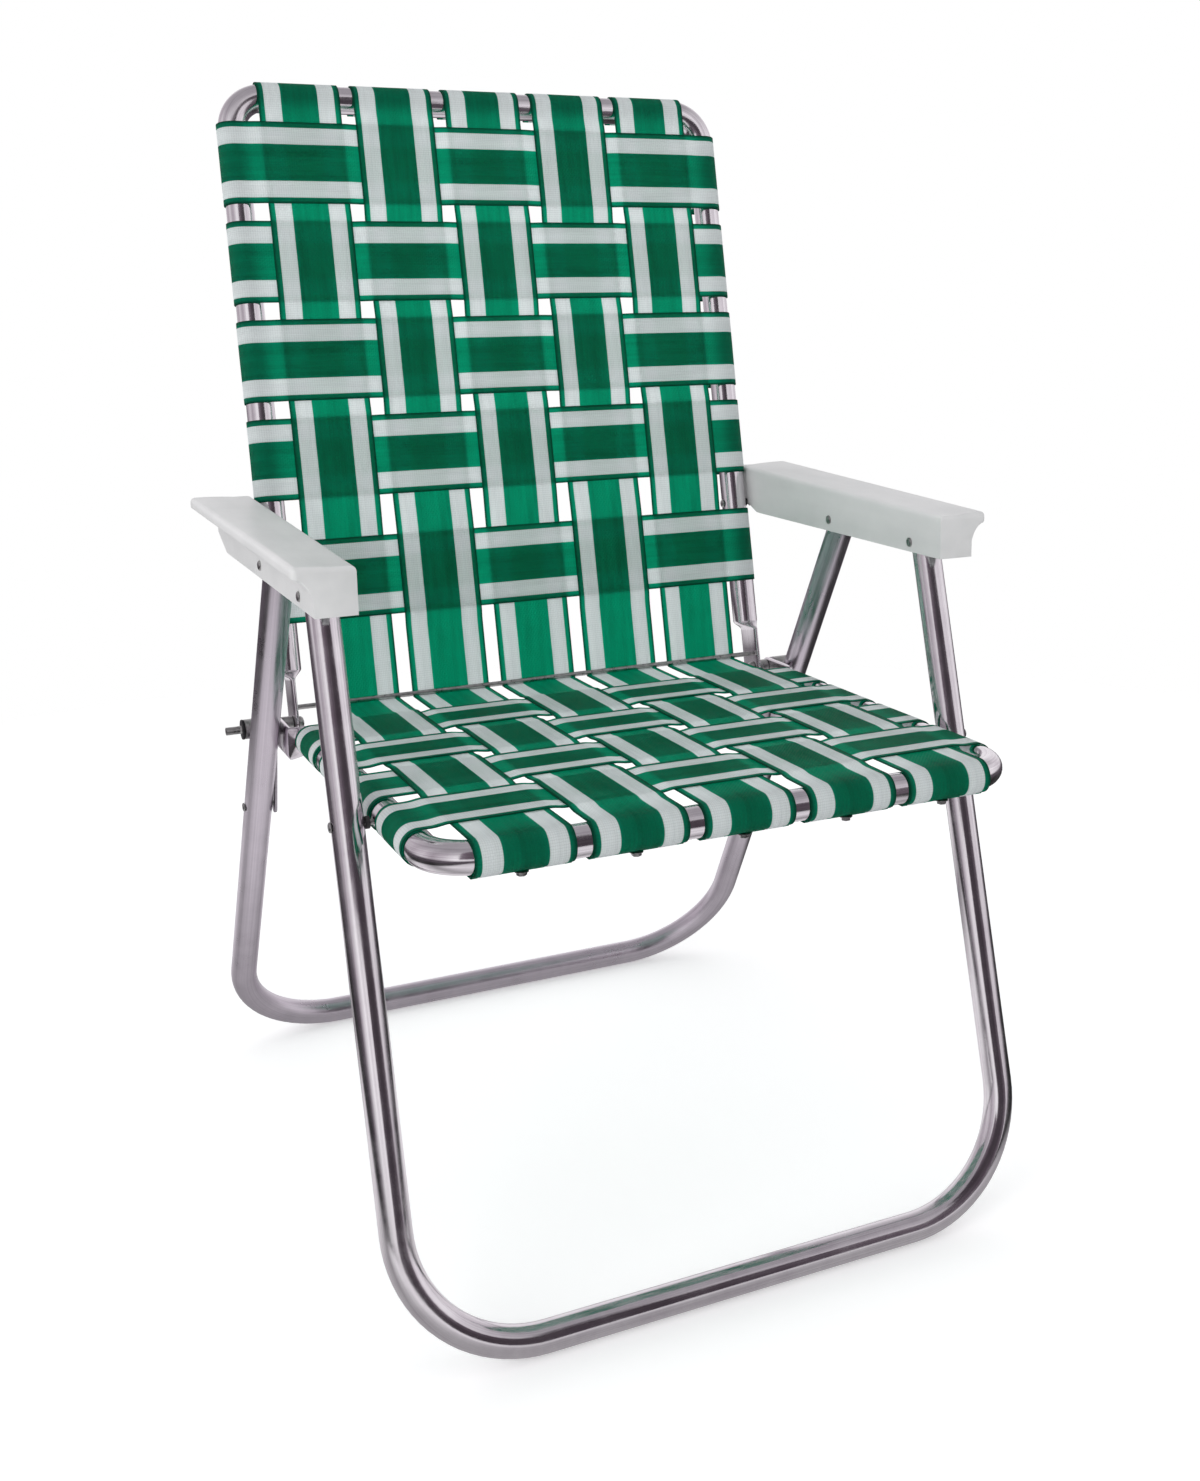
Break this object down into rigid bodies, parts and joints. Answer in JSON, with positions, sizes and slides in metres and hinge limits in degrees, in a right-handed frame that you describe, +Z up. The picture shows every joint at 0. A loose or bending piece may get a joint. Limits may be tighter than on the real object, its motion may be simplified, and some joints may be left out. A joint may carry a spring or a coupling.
{
  "type": "folding webbed lawn chair",
  "caption": "Folding lawn chair with bent aluminium tube frames, moulded plastic arms and a woven green and white webbing seat and back.",
  "frame": {"origin": "on the floor under the middle of the open chair's bounding box", "axes": "+Z up, the chair faces -Y, +X is to the right of someone who looks at it from the front"},
  "size_m": [0.618, 0.7017, 0.9859],
  "materials": {
    "aluminium": "polished",
    "dull_aluminium": "weathered satin",
    "zinc": "zinc plated",
    "black_washer": "blackened",
    "black_spacer": "matt",
    "moulded_white": "satin",
    "green_webbing": "woven, with two off-white stripes"
  },
  "bodies": {
    "seat": {"seat_frame": "aluminium", "seat_long_strap_1": "green_webbing", "seat_long_strap_2": "green_webbing", "seat_long_strap_3": "green_webbing", "seat_long_strap_4": "green_webbing", "seat_long_strap_5": "green_webbing", "seat_cross_strap_1": "green_webbing", "seat_cross_strap_2": "green_webbing", "seat_cross_strap_3": "green_webbing", "seat_cross_strap_4": "green_webbing", "crease_strap_1": "green_webbing", "crease_strap_2": "green_webbing", "crease_strap_3": "green_webbing", "crease_strap_4": "green_webbing", "crease_strap_5": "green_webbing", "hinge_bolt_left": "zinc", "hinge_bolt_right": "zinc", "hinge_bush_left": "zinc", "hinge_bush_right": "zinc", "leg_stop_left": "zinc", "leg_stop_right": "zinc", "hinge_washer_left": "black_washer", "hinge_washer_right": "black_washer", "seat_pivot_rivet_left": "zinc", "seat_pivot_rivet_right": "zinc", "seat_pivot_spacer_left": "black_spacer", "seat_pivot_spacer_right": "black_spacer"},
    "back": {"back_frame": "aluminium", "crease_rod": "zinc", "back_long_strap_1": "green_webbing", "back_long_strap_2": "green_webbing", "back_long_strap_3": "green_webbing", "back_long_strap_4": "green_webbing", "back_long_strap_5": "green_webbing", "back_cross_strap_1": "green_webbing", "back_cross_strap_2": "green_webbing", "back_cross_strap_3": "green_webbing", "back_cross_strap_4": "green_webbing", "back_cross_strap_5": "green_webbing", "back_arm_rivet_left": "zinc", "back_arm_rivet_right": "zinc", "back_arm_spacer_left": "black_spacer", "back_arm_spacer_right": "black_spacer"},
    "front_legs": {"front_leg_frame": "aluminium", "front_leg_rivet_left": "zinc", "front_leg_rivet_right": "zinc"},
    "rear_legs": {"rear_leg_frame": "dull_aluminium", "rear_leg_rivet_left": "zinc", "rear_leg_rivet_right": "zinc", "brace_rivet_left": "zinc", "brace_rivet_right": "zinc"},
    "left_arm": {"arm_left": "moulded_white"},
    "right_arm": {"arm_right": "moulded_white"},
    "left_brace": {"brace_link_left": "dull_aluminium"},
    "right_brace": {"brace_link_right": "dull_aluminium"}
  },
  "joints": [
    {"name": "back_fold", "type": "hinge", "parent": "seat", "child": "back", "pos_m": [0, 0.12685, 0.401], "axis": [1, 0, 0], "range_deg": [0, 85], "deforming": ["crease_strap_1", "crease_strap_2", "crease_strap_3", "crease_strap_4", "crease_strap_5"]},
    {"name": "front_leg_fold", "type": "hinge", "parent": "seat", "child": "front_legs", "pos_m": [0, -0.20639, 0.40863], "axis": [1, 0, 0], "range_deg": [0, 85]},
    {"name": "left_arm_swing", "type": "hinge", "parent": "back", "child": "left_arm", "pos_m": [-0.2552, 0.17654, 0.56984], "axis": [1, 0, 0], "range_deg": [-85, 0]},
    {"name": "right_arm_swing", "type": "hinge", "parent": "back", "child": "right_arm", "pos_m": [0.2552, 0.17654, 0.56984], "axis": [1, 0, 0], "range_deg": [-85, 0]},
    {"name": "rear_leg_fold", "type": "hinge", "parent": "left_arm", "child": "rear_legs", "pos_m": [0, -0.00619, 0.57647], "axis": [1, 0, 0], "range_deg": [0, 35.15]},
    {"name": "left_brace_swing", "type": "hinge", "parent": "seat", "child": "left_brace", "pos_m": [-0.2585, 0.12685, 0.401], "axis": [1, 0, 0], "range_deg": [-71.25, 0]},
    {"name": "right_brace_swing", "type": "hinge", "parent": "seat", "child": "right_brace", "pos_m": [0.2585, 0.12685, 0.401], "axis": [1, 0, 0], "range_deg": [-71.25, 0]}
  ],
  "couplings": [
    {"joint": "front_leg_fold", "follows": "back_fold", "ratio": 1},
    {"joint": "left_arm_swing", "follows": "back_fold", "ratio": -1},
    {"joint": "right_arm_swing", "follows": "back_fold", "ratio": -1},
    {"joint": "rear_leg_fold", "follows": "back_fold", "ratio": 0.41345},
    {"joint": "left_brace_swing", "follows": "back_fold", "ratio": -0.838},
    {"joint": "right_brace_swing", "follows": "back_fold", "ratio": -0.838}
  ]
}
